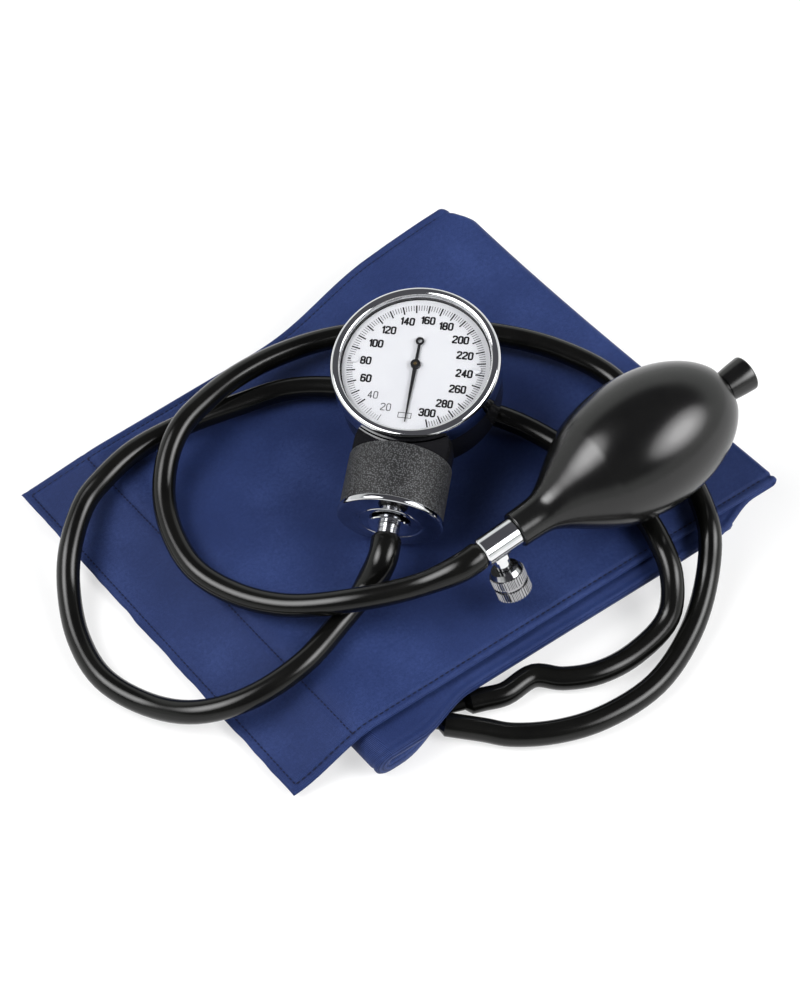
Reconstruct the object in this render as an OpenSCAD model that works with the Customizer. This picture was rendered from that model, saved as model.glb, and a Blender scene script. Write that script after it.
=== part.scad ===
// Aneroid blood pressure set: folded arm cuff, gauge, squeeze bulb and two hoses, in millimetres.
// The set lies on a table as it is put down: +Z is up, z = 0 is the table, the origin is the
// middle of the footprint of the cuff, gauge and bulb.

/* [Cuff] */
// Thickness of the top layer of the folded cuff
top_layer = 2.1; // [1.9:0.1:2.3]
// Thickness of the middle layer, which holds the end of the bladder
middle_layer = 4.4; // [4.2:0.1:4.6]
// Thickness of the bottom layer, which holds the bladder
bottom_layer = 6.6; // [6.4:0.1:6.8]
// Height of the flat top of the folded stack
stack_h = 15.5; // [15.3:0.1:15.8]
// Rise of the back corner above the flat top
corner_lift = 8.5; // [6:0.5:10]
// Fabric thickness around the bladder pocket
ply = 0.8; // [0.7:0.05:0.9]
// Clearance of the bladder in its pocket
bladder_gap = 0.2; // [0.15:0.01:0.25]
// Thickness of the hook and loop patches
patch_t = 0.7; // [0.5:0.1:0.8]

/* [Hoses] */
// Outer diameter of both hoses
hose_d = 7.6; // [7.2:0.1:7.6]

/* [Gauge] */
// Outer radius of the drum
drum_r = 26.6; // [26.4:0.1:26.8]
// Height of the drum up to the gasket
drum_h = 22.6; // [22.4:0.1:22.8]
// Wall of the drum beside the dial
drum_wall = 2.4; // [2.2:0.1:2.6]
// Wall of the bezel's skirt
bezel_wall = 0.85; // [0.75:0.05:0.95]
// Clearance between the bezel and the drum
bezel_gap = 0.05; // [0.03:0.01:0.08]
// Outer radius of the grip sleeve on the neck
sleeve_r = 16.5; // [16.3:0.1:16.8]
// Thickness of the grip sleeve
sleeve_t = 1.2; // [1:0.1:1.4]
// Length of the grip sleeve
sleeve_l = 18.5; // [18:0.25:19]
// Clearance between the sleeve and the neck
sleeve_gap = 0.1; // [0.05:0.01:0.15]
// Radius of the pressure capsule
capsule_r = 11; // [10:0.5:11.5]
// Clearance of the capsule in its chamber
chamber_gap = 1.5; // [1.3:0.1:1.7]

/* [Movement] */
// Radius of the pinion and pointer arbor
arbor_r = 0.6; // [0.5:0.05:0.7]
// Clearance of an arbor in its plate holes
pivot_gap = 0.05; // [0.03:0.01:0.08]
// Turns of the pointer for one turn of the sector
gear_ratio = 12; // [11.8:0.1:12.2]

/* [Bulb] */
// Largest radius of the bulb
bulb_r = 22.1; // [21.8:0.1:22.2]
// Wall thickness of the bulb
bulb_wall = 2.2; // [1.8:0.1:2.6]
// Radius of the waist before the inlet collar
waist_r = 4.7; // [4.6:0.1:5]
// Radius of the inlet collar
collar_r = 5.9; // [5.7:0.1:6]

/* [Valve] */
// Radius of the valve barrel
valve_r = 4.7; // [4.6:0.05:4.8]
// Radius of the valve spigot inside the bulb neck
spigot_r = 3.4; // [3.3:0.05:3.45]
// Radius of the check balls
ball_r = 1.6; // [1.5:0.05:1.6]
// Radius of the release needle
needle_r = 1.1; // [1.05:0.01:1.12]
// Clearance of the needle in the valve
needle_gap = 0.06; // [0.04:0.01:0.08]
// Radius of the release knob
knob_r = 5.7; // [5.5:0.1:5.8]

/* [Hidden] */
$fn = 64;

function smooth(a, b, x) =
  let (t = min(1, max(0, (x - a) / (b - a)))) t * t * (3 - 2 * t);
function mix(a, b, t) = a + (b - a) * t;
function unit(v) = v / norm(v);

// ---- Cuff: a strip folded in three, like a Z ----
// Corners of the top layer: left, back, right and front
corner_left = [-124.7, 0];
corner_back = [17.2, 111.1];
corner_right = [125.2, -0.6];
corner_front = [-31.2, -111.5];
panel_l = norm(corner_right - corner_front);
// s runs from the left hem (0) to the right fold (1), v from the back edge (0) to the front (1)
back_bow = 6.5;        // the back edge is drawn in this much between its corners
panel_w = 148;
function drawn_in(s) = back_bow / panel_w * smooth(0, 0.16, s) * (1 - smooth(0.5, 0.8, s));
right_bow = 5;         // the right fold bows out this much near the back corner
edge_dir = unit(corner_right - corner_front);
edge_out = [edge_dir[1], -edge_dir[0]];
function bowed_out(s, v) = right_bow * smooth(0, 0.07, v) * (1 - v) * smooth(0.4, 1, s);
function plan(s, v) = let (w = v + (1 - v) * drawn_in(s))
  mix(mix(corner_left, corner_front, w), mix(corner_back, corner_right, w), s) + edge_dir * bowed_out(s, v);

flap_h = 4;            // top surface at the left hem, which droops to the table
flap_end = 0.16;       // where the droop ends, as a share of the panel
right_drop = 1.5;      // the right corner lies this much under the flat top
fold_half = 0.95;      // half thickness of the strip at the right fold
middle_z = bottom_layer + 1.3 + middle_layer / 2;
bottom_z = bottom_layer / 2;
left_fold = 0.154;     // middle of the left fold
free_end = 0.90;       // free end of the bottom layer
// The lower layers reach past the front edge of the top layer, most near the left fold
function overhang_mid(s) = mix(10.5, 5.2, smooth(0.21, 0.33, s)) * (1 - smooth(0.85, 0.96, s)) / panel_w;
function overhang_low(s) = mix(10, 1, smooth(0.17, 0.34, s)) / panel_w;
function top_z(s, v) = flap_h + (stack_h - flap_h) * smooth(0, flap_end, s)
  + smooth(0.55, 1, s) * (corner_lift * pow(1 - v, 3) - right_drop * pow(v, 3));
function fold_t(v) = mix(10, 4.6, smooth(0, 1, v));
function fold_s(v) = 1 - fold_t(v) / 2 / panel_l;
function fold_rc(v) = fold_t(v) / 2 - fold_half;
function fold_z(v) = top_z(fold_s(v), v) - fold_t(v) / 2;

// A station on the strip: [s, centre height, half thickness, normal s, normal z, overhang]
function st_top(k, v) = let (s = k * fold_s(v), h = mix(top_layer / 2, fold_half, smooth(0.9, 1, k)))
  [s, top_z(s, v) - h, h, 0, 1, 0];
function st_right(a, v) =
  [fold_s(v) + fold_rc(v) * cos(a) / panel_l, fold_z(v) + fold_rc(v) * sin(a), fold_half,
    cos(a), sin(a), 0];
function st_mid(k, v) = [k * fold_s(v),
  mix(middle_z, fold_z(v) - fold_rc(v), smooth(0.6, 1, k)),
  mix(middle_layer / 2, fold_half, smooth(0.7, 1, k)), 0, -1, overhang_mid(k)];
left_rc = (middle_z - bottom_z) / 2;
function st_left(a, v) = let (t = (a - 90) / 180)
  [left_fold + left_rc * cos(a) / panel_l, (middle_z + bottom_z) / 2 + left_rc * sin(a),
    mix(middle_layer / 2, bottom_layer / 2, t), -cos(a), -sin(a),
    mix(overhang_mid(0), overhang_low(0), t)];
function st_low(k, v) = [k, bottom_z, bottom_layer / 2, 0, 1, overhang_low(k)];
// leg 0 top, 1 right fold, 2 middle, 3 left fold, 4 bottom
function station(leg, k, v) = leg == 0 ? st_top(k, v) : leg == 1 ? st_right(k, v)
  : leg == 2 ? st_mid(k, v) : leg == 3 ? st_left(k, v) : st_low(k, v);

cover_path = concat(
  [for (k = [0, 0.02, 0.05, 0.08, 0.11, 0.14, 0.17, 0.35, 0.55, 0.7, 0.82, 0.92, 1]) [0, k]],
  [for (a = [60 : -30 : -60]) [1, a]],
  [for (k = [1, 0.92, 0.84, 0.7, 0.55, 0.33, 0.27, 0.21, left_fold]) [2, k]],
  [for (a = [120 : 30 : 240]) [3, a]],
  [for (k = [left_fold, 0.21, 0.25, 0.29, 0.34, 0.62, free_end]) [4, k]]);
// The pocket runs from the middle layer round the left fold to the end of the bottom layer
function pocket_path(gap) = concat([for (k = [0.55 - gap, 0.33, 0.21, left_fold]) [2, k]],
  [for (a = [120 : 30 : 240]) [3, a]],
  [for (k = [left_fold, 0.21, 0.29, 0.34, 0.62, free_end - 0.03 - gap]) [4, k]]);
hook_path = [for (k = [0.17, 0.35, 0.45]) [0, k]];
loop_path = [for (k = [0.25, 0.35, 0.62, 0.8]) [4, k]];
cover_v = [0, 0.02, 0.07, 0.18, 0.32, 0.5, 0.7, 0.85, 0.98, 1];
pocket_v = [0.08, 0.3, 0.5, 0.7, 0.955];
patch_v = [0.1, 0.3, 0.5, 0.7, 0.9];

// One point at station q of the strip, v across it; off turns the half thickness there into the
// distance from the strip's middle, and the top layer thins towards its hems
function on_strip(q, v, off) = let (t = station(q[0], q[1], v),
    hem = q[0] < 2 ? mix(0.55, 1, smooth(0, 0.02, min(v, 1 - v))) : 1,
    p = plan(t[0], v * (1 + t[5])), d = unit(plan(1, v) - plan(0, v)), n = off(t[2]) * hem)
  [p[0] + d[0] * n * t[3], p[1] + d[1] * n * t[3], t[1] + n * t[4]];
function flatten(l) = [for (a = l) for (b = a) b];
// A closed band on the strip, from an outer and an inner face
module band(path, vs, outer, inner) {
  np = len(path);
  nv = len(vs);
  pts = concat([for (q = path) for (v = vs) on_strip(q, v, outer)],
    [for (q = path) for (v = vs) on_strip(q, v, inner)]);
  m = np * nv;
  function quad(a, b, c, d) = [[a, c, b], [a, d, c]];
  faces = concat(
    flatten([for (i = [0 : np - 2]) for (j = [0 : nv - 2])
      quad(i * nv + j, i * nv + j + 1, (i + 1) * nv + j + 1, (i + 1) * nv + j)]),
    flatten([for (i = [0 : np - 2]) for (j = [0 : nv - 2])
      quad(m + i * nv + j, m + (i + 1) * nv + j, m + (i + 1) * nv + j + 1, m + i * nv + j + 1)]),
    flatten([for (i = [0 : np - 2]) quad(i * nv, (i + 1) * nv, m + (i + 1) * nv, m + i * nv)]),
    flatten([for (i = [0 : np - 2])
      quad(i * nv + nv - 1, m + i * nv + nv - 1, m + (i + 1) * nv + nv - 1, (i + 1) * nv + nv - 1)]),
    flatten([for (j = [0 : nv - 2]) quad(j, m + j, m + j + 1, j + 1)]),
    flatten([for (j = [0 : nv - 2])
      quad((np - 1) * nv + j, (np - 1) * nv + j + 1, m + (np - 1) * nv + j + 1, m + (np - 1) * nv + j)]));
  polyhedron(pts, faces, convexity = 8);
}

// Hose ports: where the bladder stubs pass the front edge of the bottom layer
port_z = 3.9;
port_r = 2;
port_gap = 0.1;
port_in = 14;          // length of a stub inside the cuff
function edge_point(q, d) = corner_front + edge_dir * q + edge_out * d;
gauge_port_at = edge_point(57.5, 3.3);
gauge_port_turn = 20;
gauge_port_reach = 9;
bulb_port_at = edge_point(50, 5.3);
bulb_port_turn = 45;
bulb_port_reach = 7;
function port_dir(turn) = edge_dir * cos(turn) + edge_out * sin(turn);
function port_end(at, turn, reach) = let (p = at + port_dir(turn) * reach) [p[0], p[1], port_z];
module port_axis(at, turn) {
  d = port_dir(turn);
  translate([at[0], at[1], port_z]) rotate([0, 0, atan2(d[1], d[0])]) rotate([0, 90, 0]) children();
}
module port_stub(at, turn, reach, collar) {
  port_axis(at, turn) {
    translate([0, 0, -port_in]) cylinder(r = port_r, h = port_in + collar);
    translate([0, 0, collar - 2]) cylinder(r1 = port_r, r2 = hose_d / 2, h = 2);
    translate([0, 0, collar]) cylinder(r = hose_d / 2, h = reach - collar);
  }
}

module cuff_cover() {
  color("midnightblue") difference() {
    band(cover_path, cover_v, function(h) h, function(h) -h);
    band(pocket_path(0), pocket_v, function(h) h - ply, function(h) -h + ply);
    for (p = [[gauge_port_at, gauge_port_turn], [bulb_port_at, bulb_port_turn]])
      port_axis(p[0], p[1]) translate([0, 0, -port_in])
        cylinder(r = port_r + port_gap, h = 2 * port_in, $fn = 24);
  }
}

module cuff_bladder() {
  color("black") union() {
    band(pocket_path(0.004), [for (v = pocket_v) mix(v, 0.5, 0.004)],
      function(h) h - ply - bladder_gap, function(h) -h + ply + bladder_gap);
    port_stub(gauge_port_at, gauge_port_turn, gauge_port_reach, 5.4);
    port_stub(bulb_port_at, bulb_port_turn, bulb_port_reach, 2.6);
  }
}

patch_gap = 0.15;
module hook_patch() {
  color("black") band(hook_path, patch_v, function(h) -h - patch_gap, function(h) -h - patch_gap - patch_t);
}

module loop_patch() {
  color("black") band(loop_path, patch_v, function(h) h + patch_gap + patch_t, function(h) h + patch_gap);
}

// ---- Gauge: local frame with the dial facing +Z and 12 o'clock at +Y; the neck runs along -Y ----
gauge_turn = [10.5, -5, -11];
// Turns a point of the gauge's frame into the frame of the set
function turn_x(p, a) = [p[0], p[1] * cos(a) - p[2] * sin(a), p[1] * sin(a) + p[2] * cos(a)];
function turn_y(p, a) = [p[0] * cos(a) + p[2] * sin(a), p[1], -p[0] * sin(a) + p[2] * cos(a)];
function turn_z(p, a) = [p[0] * cos(a) - p[1] * sin(a), p[0] * sin(a) + p[1] * cos(a), p[2]];
function turned(p, r) = turn_z(turn_y(turn_x(p, r[0]), r[1]), r[2]);

// Drum, dial and lens, from the back up
floor_t = 2;
back_round = 3;
ledge_z = drum_h - 1.8;              // ledge that carries the dial
drum_bore_r = drum_r - drum_wall;    // over the ledge
ledge_r = drum_bore_r - 0.8;         // under the ledge
dial_t = 0.6;
dial_gap = 0.2;
dial_r = drum_bore_r - dial_gap;
gasket_t = 0.4;
lens_t = 0.9;
lens_r = drum_r - 0.6;
bezel_r = drum_r + bezel_gap + bezel_wall;
bezel_z = drum_h - 6.1;              // lower edge of the bezel's skirt
lip_t = 0.8;
lip_h = drum_h + gasket_t + lens_t - bezel_z;
bezel_h = lip_h + lip_t;
bezel_round = 1.8;

// Neck: distances along it from the drum's middle
neck_z = ledge_z - 5.8;              // height of the neck's axis over the back of the drum
shoulder_r = sleeve_r - 0.3;
shoulder_end = drum_r + 5.9;         // the sleeve starts here
shoulder_top = neck_z + 6;           // the shoulder is flat on top
spigot_end = shoulder_end + sleeve_l;
neck_core_r = sleeve_r - sleeve_t - sleeve_gap;
chamber_r = capsule_r + chamber_gap;
passage_r = 5.5;                     // opening from the drum to the chamber
passage_start = drum_r - 8.6;
chamber_start = shoulder_end + 1.5;
cap_t = 2;
cap_edge = 0.9;                      // height of the rounding at the cap's end
cap_r = sleeve_r + 0.5;
cap_end = spigot_end + cap_t;
nipple_l = 4.8;
nipple_end = cap_end + nipple_l;     // the hose starts here
duct_r = 1.2;                        // air duct of the cap and the nipple

// Movement
plate_t = 1.2;
plate_low_z = neck_z - 7;
plate_top_z = neck_z + 2;
plate_r = ledge_r - 2.9;
plate_half = 13;
plate_back = 9;
gear_z = neck_z - 3;
sector_at = [-4, -15.7];
pillar_at = [[10, 6], [-10, 6], unit([8.5, -16]) * (plate_r - 2.4)];
pillar_r = 1.8;
post_r = 2.6;
thread_r = 0.7;                      // tapped holes
shank_r = 0.65;                      // screws in them
shank_hole_r = 0.9;
dial_screw_r = ledge_r - 3.4;
dial_screw_at = [[dial_screw_r, 0], [-dial_screw_r, 0]];
dial_post_r = 2;
pinion_teeth = 10;
sector_teeth = 12;
tooth_turn = 360 / (pinion_teeth * gear_ratio);
pinion_tip_r = 1.1;
sector_tip_r = norm(sector_at) - pinion_tip_r - 0.1;
sweep = 340 / gear_ratio;
hub_r = 1.6;
pointer_z = ledge_z + dial_t + 0.5;
pointer_t = 0.3;
pointer_tip = dial_r - 3.2;
tail_y = 8.5;
rod_r = 0.8;
rod_point_r = 0.25;
rod_tip = sector_at[1] - 1;
pad_r = 4;
pad_t = 1;
capsule_to = -chamber_start - 0.6;
pad_y = capsule_to + 0.2;
capsule_from = 3 - spigot_end;

// The gauge leans on its neck's rim, which rests on the cuff
rest_gap = 0.12;
function rise(p) = turned(p, gauge_turn)[2];
rim_low = rise([0, cap_edge - cap_end, neck_z]) - cap_r * norm([rise([1, 0, 0]), rise([0, 0, 1])]);
gauge_at = [8.6, 22.55, stack_h + rest_gap - rim_low];
module gauge_frame() {
  translate(gauge_at) rotate(gauge_turn) children();
}

// A solid of revolution about the neck's axis, from [distance along the neck, radius] points
module along_neck(points) {
  translate([0, 0, neck_z]) rotate([90, 0, 0]) rotate_extrude() polygon([for (p = points) [p[1], p[0]]]);
}

module pillar_posts() {
  for (p = pillar_at) translate([p[0], p[1], floor_t / 2])
    cylinder(r = post_r, h = plate_low_z - floor_t / 2);
}

module gauge_case() {
  gauge_frame() color("black") difference() {
    union() {
      rotate_extrude() polygon(concat([[0, 0]], [for (a = [-90 : 15 : 0])
        [drum_r - back_round + back_round * cos(a), back_round + back_round * sin(a)]],
        [[drum_r, drum_h], [0, drum_h]]));
      difference() {
        along_neck([[drum_r - 6.4, 0], [drum_r - 6.4, shoulder_r - 3.2], [drum_r - 2.4, shoulder_r - 0.6],
          [drum_r + 0.6, shoulder_r], [shoulder_end, shoulder_r], [shoulder_end, neck_core_r],
          [spigot_end, neck_core_r], [spigot_end, 0]]);
        translate([0, 0, bezel_z - 0.5]) cylinder(r = bezel_r + 0.3, h = 2 * shoulder_r);
        translate([-drum_r, -shoulder_end, shoulder_top]) cube([2 * drum_r, shoulder_end, 2 * shoulder_r]);
      }
    }
    difference() {
      translate([0, 0, floor_t]) cylinder(r = ledge_r, h = drum_h);
      pillar_posts();
      for (p = dial_screw_at) translate([p[0], p[1], floor_t / 2])
        cylinder(r = dial_post_r, h = ledge_z - floor_t / 2);
    }
    translate([0, 0, ledge_z]) cylinder(r = drum_bore_r, h = drum_h);
    difference() {
      along_neck([[passage_start, 0], [passage_start, passage_r], [chamber_start, passage_r],
        [chamber_start, chamber_r], [spigot_end + 1, chamber_r], [spigot_end + 1, 0]]);
      pillar_posts();
    }
    for (p = pillar_at) translate([p[0], p[1], plate_low_z - 5]) cylinder(r = thread_r, h = 6, $fn = 24);
    for (p = dial_screw_at) translate([p[0], p[1], ledge_z - 3.8]) cylinder(r = thread_r, h = 6, $fn = 24);
  }
}

module bezel() {
  inner = drum_r + bezel_gap;
  gauge_frame() color("silver") translate([0, 0, bezel_z]) rotate_extrude() polygon(concat(
    [[inner, 0], [bezel_r - 0.3, 0], [bezel_r, 0.3]],
    [for (a = [0 : 15 : 90])
      [bezel_r - bezel_round + bezel_round * cos(a), bezel_h - bezel_round + bezel_round * sin(a)]],
    [[drum_bore_r + 0.3, bezel_h - 0.05], [drum_bore_r, bezel_h - 0.3], [drum_bore_r, lip_h],
      [inner, lip_h]]));
}

module lens() {
  gauge_frame() color([0.8, 0.9, 1, 0.3]) translate([0, 0, drum_h + gasket_t])
    cylinder(r = lens_r, h = lens_t);
}

module lens_gasket() {
  gauge_frame() color("dimgray") translate([0, 0, drum_h]) difference() {
    cylinder(r = lens_r, h = gasket_t);
    translate([0, 0, -1]) cylinder(r = drum_bore_r + 0.2, h = gasket_t + 2);
  }
}

module dial_plate() {
  gauge_frame() color("white") translate([0, 0, ledge_z]) difference() {
    cylinder(r = dial_r, h = dial_t);
    translate([0, 0, -1]) cylinder(r = 1.6, h = dial_t + 2);
    for (p = dial_screw_at) translate([p[0], p[1], -1]) cylinder(r = shank_hole_r, h = dial_t + 2);
  }
}

module screw(head_r, head_h, shank_l) {
  difference() {
    union() {
      cylinder(r = head_r, h = head_h);
      translate([0, 0, -shank_l]) cylinder(r = shank_r, h = shank_l);
    }
    translate([-head_r, -0.15, head_h - 0.3]) cube([2 * head_r, 0.3, 1]);
  }
}

module dial_screws() {
  gauge_frame() color("silver") for (p = dial_screw_at)
    translate([p[0], p[1], ledge_z + dial_t]) screw(1.3, 0.6, 3);
}

module pointer() {
  gauge_frame() color("black") difference() {
    union() {
      translate([0, 0, pointer_z]) linear_extrude(pointer_t) difference() {
        union() {
          polygon([[-0.15, -pointer_tip], [0.15, -pointer_tip], [0.65, 0], [-0.65, 0]]);
          polygon([[-0.5, 0], [0.5, 0], [0.4, tail_y], [-0.4, tail_y]]);
          translate([0, tail_y]) circle(r = 1.4);
        }
        translate([0, tail_y]) circle(r = 0.7);
      }
      translate([0, 0, pointer_z - 0.4]) cylinder(r = hub_r, h = 1);
    }
    translate([0, 0, pointer_z - 1]) cylinder(r = arbor_r + 0.02, h = 3);
  }
}

// Outline of a toothed sector from angle a to b, with n teeth between root and tip radii
function teeth(a, b, n, root, tip) = [for (i = [0 : n - 1]) for (k = [0 : 3])
  let (t = a + (b - a) * (i + [0.1, 0.3, 0.6, 0.8][k]) / n, r = (k == 1 || k == 2) ? tip : root)
    [r * cos(t), r * sin(t)]];

module pinion_arbor() {
  low = plate_low_z - 1.2;
  gauge_frame() color("goldenrod") {
    translate([0, 0, low]) cylinder(r = arbor_r, h = pointer_z + 0.8 - low);
    translate([0, 0, gear_z - 0.2]) linear_extrude(1.6)
      polygon(teeth(0, 360, pinion_teeth, pinion_tip_r - 0.3, pinion_tip_r));
    translate([0, 0, plate_low_z + plate_t + 0.7]) cylinder(r = 1, h = 0.9);
  }
}

module hairspring() {
  turns = 4;
  steps = 24;
  inner = 1.35;
  outer = 5;
  t = 0.12;
  function spiral(i, off) = let (a = 360 * i / steps, r = mix(inner, outer, i / (turns * steps)) + off)
    [r * cos(a), r * sin(a)];
  n = turns * steps;
  gauge_frame() color("goldenrod") translate([0, 0, plate_low_z + plate_t]) {
    translate([0, 0, 0.85]) linear_extrude(0.6)
      polygon(concat([for (i = [0 : n]) spiral(i, 0)], [for (i = [n : -1 : 0]) spiral(i, t)]));
    translate([outer + 0.3, 0, 0]) cylinder(r = 0.4, h = 1.6, $fn = 24);
  }
}

module movement_plate(z) {
  translate([0, 0, z]) difference() {
    intersection() {
      cylinder(r = plate_r, h = plate_t);
      translate([-plate_half, -plate_r, -1]) cube([2 * plate_half, plate_r + plate_back, plate_t + 2]);
    }
    translate([0, 0, -1]) cylinder(r = arbor_r + pivot_gap, h = plate_t + 2);
    translate([sector_at[0], sector_at[1], -1]) cylinder(r = arbor_r + pivot_gap, h = plate_t + 2);
    for (p = pillar_at) translate([p[0], p[1], -1]) cylinder(r = shank_hole_r, h = plate_t + 2);
  }
}

module movement_bottom_plate() {
  gauge_frame() color("goldenrod") movement_plate(plate_low_z);
}

module movement_top_plate() {
  gauge_frame() color("goldenrod") movement_plate(plate_top_z);
}

module plate_pillars() {
  tall = plate_top_z - plate_low_z - plate_t;
  gauge_frame() color("goldenrod") for (p = pillar_at)
    translate([p[0], p[1], plate_low_z + plate_t]) difference() {
      cylinder(r = pillar_r, h = tall);
      translate([0, 0, -1]) cylinder(r = thread_r, h = tall + 2, $fn = 24);
    }
}

module plate_screws() {
  into_post = 3.8;
  gauge_frame() color("silver") for (p = pillar_at)
    translate([p[0], p[1], plate_top_z + plate_t])
      screw(1.5, 0.7, plate_top_z + plate_t - plate_low_z + into_post);
}

module sector_gear() {
  half = sector_teeth * tooth_turn / 2;
  web_r = sector_tip_r - 3;
  web_half = 4.2;
  crank_l = 4.6;
  crank_t = 1.6;
  gauge_frame() color("goldenrod") translate([sector_at[0], sector_at[1], 0]) {
    start = atan2(-sector_at[1], -sector_at[0]) - sweep / 2;
    translate([0, 0, gear_z]) linear_extrude(1) rotate(start)
      polygon(concat([[0.5, -1], [web_r, -web_half]],
        teeth(-half, half, sector_teeth, sector_tip_r - 0.45, sector_tip_r), [[web_r, web_half], [0.5, 1]]));
    translate([0, 0, plate_low_z - 0.6]) cylinder(r = arbor_r, h = plate_top_z - plate_low_z + plate_t + 1.2);
    translate([0, 0, plate_low_z + plate_t + 0.4])
      cylinder(r = 1.5, h = plate_top_z - plate_low_z - plate_t - 0.8);
    translate([0, -crank_t / 2, neck_z - 1]) cube([crank_l, crank_t, 2]);
  }
}

// Rod with a pad for the capsule and a point that pushes the sector's crank
module push_rod() {
  gauge_frame() color("silver") translate([0, rod_tip, neck_z]) rotate([90, 0, 0]) {
    cylinder(r1 = rod_point_r, r2 = rod_r, h = rod_r);
    translate([0, 0, rod_r]) cylinder(r = rod_r, h = rod_tip - pad_y - rod_r);
    translate([0, 0, rod_tip - pad_y - pad_t]) cylinder(r = pad_r, h = pad_t);
  }
}

// Corrugated capsule that the pressure makes longer
module pressure_capsule() {
  waves = 5;
  wave = 2.5;
  stub_r = 3;
  step = (capsule_to - capsule_from) / waves;
  gauge_frame() color("goldenrod") {
    along_neck(concat([[-capsule_to, 0]],
      [for (i = [0 : waves - 1]) for (k = [0, 1]) [-capsule_to + step * (i + 0.12 + 0.38 * k),
        k == 0 ? capsule_r : capsule_r - wave]],
      [[-capsule_from, capsule_r - wave], [-capsule_from, stub_r], [spigot_end, stub_r], [spigot_end, 0]]));
  }
}

module neck_sleeve() {
  inner = sleeve_r - sleeve_t;
  gauge_frame() color([0.15, 0.15, 0.16]) along_neck([[shoulder_end, inner],
    [shoulder_end, sleeve_r - 0.3], [shoulder_end + 0.3, sleeve_r], [spigot_end - 0.3, sleeve_r],
    [spigot_end, sleeve_r - 0.3], [spigot_end, inner]]);
}

module base_cap() {
  groove_r = 10;
  gauge_frame() color("silver") along_neck([[spigot_end, duct_r], [spigot_end, cap_r - 0.4],
    [spigot_end + 0.4, cap_r], [cap_end - cap_edge, cap_r], [cap_end - 0.3, cap_r - 0.35],
    [cap_end, cap_r - 1.1], [cap_end, groove_r + 0.6], [cap_end - 0.35, groove_r + 0.3],
    [cap_end - 0.35, groove_r - 0.2], [cap_end, groove_r - 0.5], [cap_end, duct_r]]);
}

module gauge_nipple() {
  ribs = 5;
  ring = 4.3;
  flange = 6.7;
  rib_r = 3.6;
  rib_root = 3;
  start = cap_end + 1.4;
  step = (nipple_end - start) / ribs;
  gauge_frame() color("silver") along_neck(concat([[cap_end, duct_r], [cap_end, ring], [cap_end + 0.7, ring],
    [cap_end + 0.8, flange - 0.2], [cap_end + 1, flange], [start - 0.1, flange - 0.2]],
    flatten([for (i = [0 : ribs - 1]) [[start + step * i, rib_root], [start + step * (i + 0.35), rib_r],
      [start + step * (i + 0.7), rib_r], [start + step * (i + 1) - 0.01, rib_root]]]),
    [[nipple_end, rib_root], [nipple_end, duct_r]]));
}

// ---- Bulb and valve: local frame with +X from the hose end of the valve to the bulb's inlet ----
bulb_at = [76.8, -10.8, 46];
bulb_turn = [0, -6.5, 35.7];
bulb_x = 62;            // middle of the bulb
bulb_left = 36;         // half lengths of the two ends of the bulb
bulb_right = 34.5;
neck_x = 12;            // the bulb's neck starts here
spigot_x = 24;          // the valve's spigot ends here
waist_x = 94;
valve_from = -1;         // hose end of the valve
inlet_x = 104.6;
insert_r = 3.4;         // bore for the inlet's insert
insert_x = waist_x + 1.5;
bore_end = waist_x - 5;
module bulb_frame() {
  translate(bulb_at) rotate(bulb_turn) translate([-bulb_x, 0, 0]) children();
}
function bulb_point(p) = bulb_at + turned(p - [bulb_x, 0, 0], bulb_turn);

// A solid of revolution about the X axis, from [x, radius] points
module about_x(points) {
  rotate([0, 90, 0]) rotate_extrude() polygon([for (p = points) [p[1], p[0]]]);
}
// The oval of the bulb, less "in" all round
function bulb_arc(a, b, in) = [for (t = [a : (b - a) / 12 : b + 0.01])
  [bulb_x + (t > 90 ? bulb_left - in : bulb_right - in) * cos(t), (bulb_r - in) * sin(t)]];

module bulb() {
  bore_r = spigot_r + 0.05;
  bulb_frame() color([0.05, 0.05, 0.05]) difference() {
    about_x(concat([[neck_x, bore_r], [neck_x, 5.1], [neck_x + 0.5, 5.6], [spigot_x - 4, 6], [spigot_x, 7.4]],
      bulb_arc(154, 90, 0), bulb_arc(86, 22, 0),
      [[waist_x, waist_r], [waist_x + 1, waist_r], [waist_x + 1.3, collar_r - 0.8],
        [inlet_x - 1, collar_r], [inlet_x - 0.2, collar_r - 0.1], [inlet_x, collar_r - 0.6],
        [inlet_x, insert_r],
        [bore_end, insert_r], [bore_end, bore_r]]));
    about_x(concat([[spigot_x, 0], [spigot_x, bore_r]], bulb_arc(158, 90, bulb_wall),
      bulb_arc(86, 12, bulb_wall), [[waist_x, insert_r], [waist_x, 0]]));
  }
}

seat_x = spigot_x - 3.4;
stop_x = seat_x - 4.6;
ball_gap = 0.3;         // clearance round a check ball
seat_r = 2.5;
plug_r = spigot_r - 0.05;
duct_x_r = 1.2;
// Release valve: its own axis leans down and forward from the barrel
knob_x = 4;
knob_tilt = 62;
boss_r = 3.3;
stem_r = 2.4;
stem_end = 9;
knob_from = stem_end + 0.3;
knob_l = 10.4;
ring_at = 7;            // the ring that seals the needle
ring_r = 0.33;
needle_tip = 1.4;
module knob_frame() {
  translate([knob_x, 0, 0]) rotate([90 + knob_tilt, 0, 0]) children();
}
module along_x(from, r, l) {
  rotate([0, 90, 0]) translate([0, 0, from]) cylinder(r = r, h = l);
}

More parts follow.
